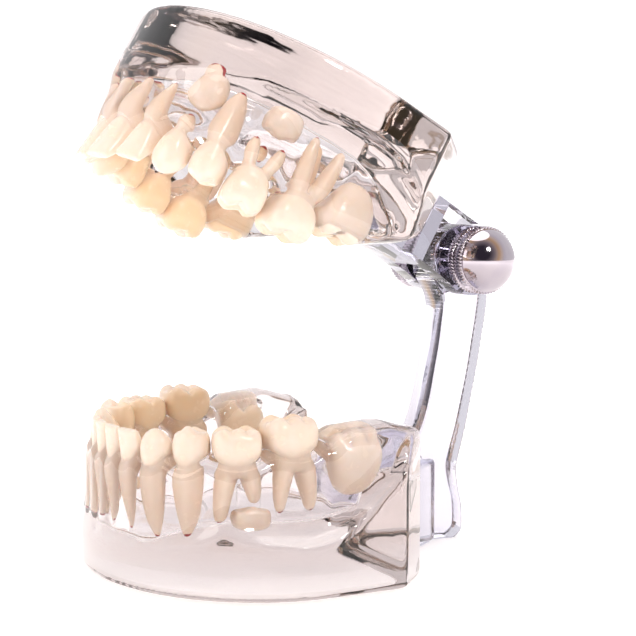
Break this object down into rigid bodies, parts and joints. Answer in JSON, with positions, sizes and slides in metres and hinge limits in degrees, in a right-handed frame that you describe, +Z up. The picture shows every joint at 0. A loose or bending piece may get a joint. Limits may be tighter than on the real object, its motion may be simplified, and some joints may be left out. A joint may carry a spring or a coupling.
{
  "type": "dental teaching model",
  "caption": "Hinged pair of clear cast dental jaws with a mixed dentition of erupted and unerupted teeth, clamped at the back by chrome knobs.",
  "frame": {"origin": "centre of the lower jaw's flat underside, on the midline", "axes": "+Z up, -Y towards the incisors, +X towards the patient's left side"},
  "size_m": [0.073, 0.088, 0.108],
  "materials": {
    "clear_resin": "polished clear cast resin",
    "clear_acrylic": "polished clear acrylic",
    "tooth_resin": "glossy ivory resin",
    "germ_resin": "ivory resin, sealed in the clear resin",
    "chrome": "mirror polished, knurled bands",
    "steel": "turned"
  },
  "bodies": {
    "lower_half": {"lower_jaw_body": "clear_resin", "lower_arm": "clear_acrylic", "lower_arm_screw": "clear_acrylic", "lower_arm_dowels": "clear_acrylic", "pivot_rod": "steel", "lower_left_central_incisor": "tooth_resin", "lower_left_lateral_incisor": "tooth_resin", "lower_left_canine": "tooth_resin", "lower_left_first_premolar": "tooth_resin", "lower_left_deciduous_second_molar": "tooth_resin", "lower_left_first_molar": "tooth_resin", "lower_right_central_incisor": "tooth_resin", "lower_right_lateral_incisor": "tooth_resin", "lower_right_canine": "tooth_resin", "lower_right_first_premolar": "tooth_resin", "lower_right_deciduous_second_molar": "tooth_resin", "lower_right_first_molar": "tooth_resin", "lower_left_second_premolar_germ": "germ_resin", "lower_left_second_molar_germ": "germ_resin", "lower_right_second_premolar_germ": "germ_resin", "lower_right_second_molar_germ": "germ_resin"},
    "upper_half": {"upper_jaw_body": "clear_resin", "upper_fork": "clear_acrylic", "upper_fork_screws": "clear_acrylic", "upper_left_central_incisor": "tooth_resin", "upper_left_lateral_incisor": "tooth_resin", "upper_left_deciduous_canine": "tooth_resin", "upper_left_first_premolar": "tooth_resin", "upper_left_deciduous_second_molar": "tooth_resin", "upper_left_first_molar": "tooth_resin", "upper_right_central_incisor": "tooth_resin", "upper_right_lateral_incisor": "tooth_resin", "upper_right_deciduous_canine": "tooth_resin", "upper_right_first_premolar": "tooth_resin", "upper_right_deciduous_second_molar": "tooth_resin", "upper_right_first_molar": "tooth_resin", "upper_left_canine_germ": "germ_resin", "upper_left_second_premolar_germ": "germ_resin", "upper_left_second_molar_germ": "germ_resin", "upper_right_canine_germ": "germ_resin", "upper_right_second_premolar_germ": "germ_resin", "upper_right_second_molar_germ": "germ_resin"},
    "left_collar": {"left_lock_collar": "chrome"},
    "right_collar": {"right_lock_collar": "chrome"},
    "left_knob": {"left_knob": "chrome"},
    "right_knob": {"right_knob": "chrome"}
  },
  "joints": [
    {"name": "jaw_hinge", "type": "hinge", "parent": "lower_half", "child": "upper_half", "pos_m": [0, 0.0527, 0.0593], "axis": [-1, 0, 0], "range_deg": [-35, 60]},
    {"name": "left_collar_turn", "type": "hinge", "parent": "lower_half", "child": "left_collar", "pos_m": [0.0118, 0.0527, 0.0593], "axis": [1, 0, 0], "continuous": true},
    {"name": "left_knob_turn", "type": "hinge", "parent": "lower_half", "child": "left_knob", "pos_m": [0.0118, 0.0527, 0.0593], "axis": [1, 0, 0], "continuous": true},
    {"name": "right_collar_turn", "type": "hinge", "parent": "lower_half", "child": "right_collar", "pos_m": [-0.0118, 0.0527, 0.0593], "axis": [-1, 0, 0], "continuous": true},
    {"name": "right_knob_turn", "type": "hinge", "parent": "lower_half", "child": "right_knob", "pos_m": [-0.0118, 0.0527, 0.0593], "axis": [-1, 0, 0], "continuous": true}
  ]
}
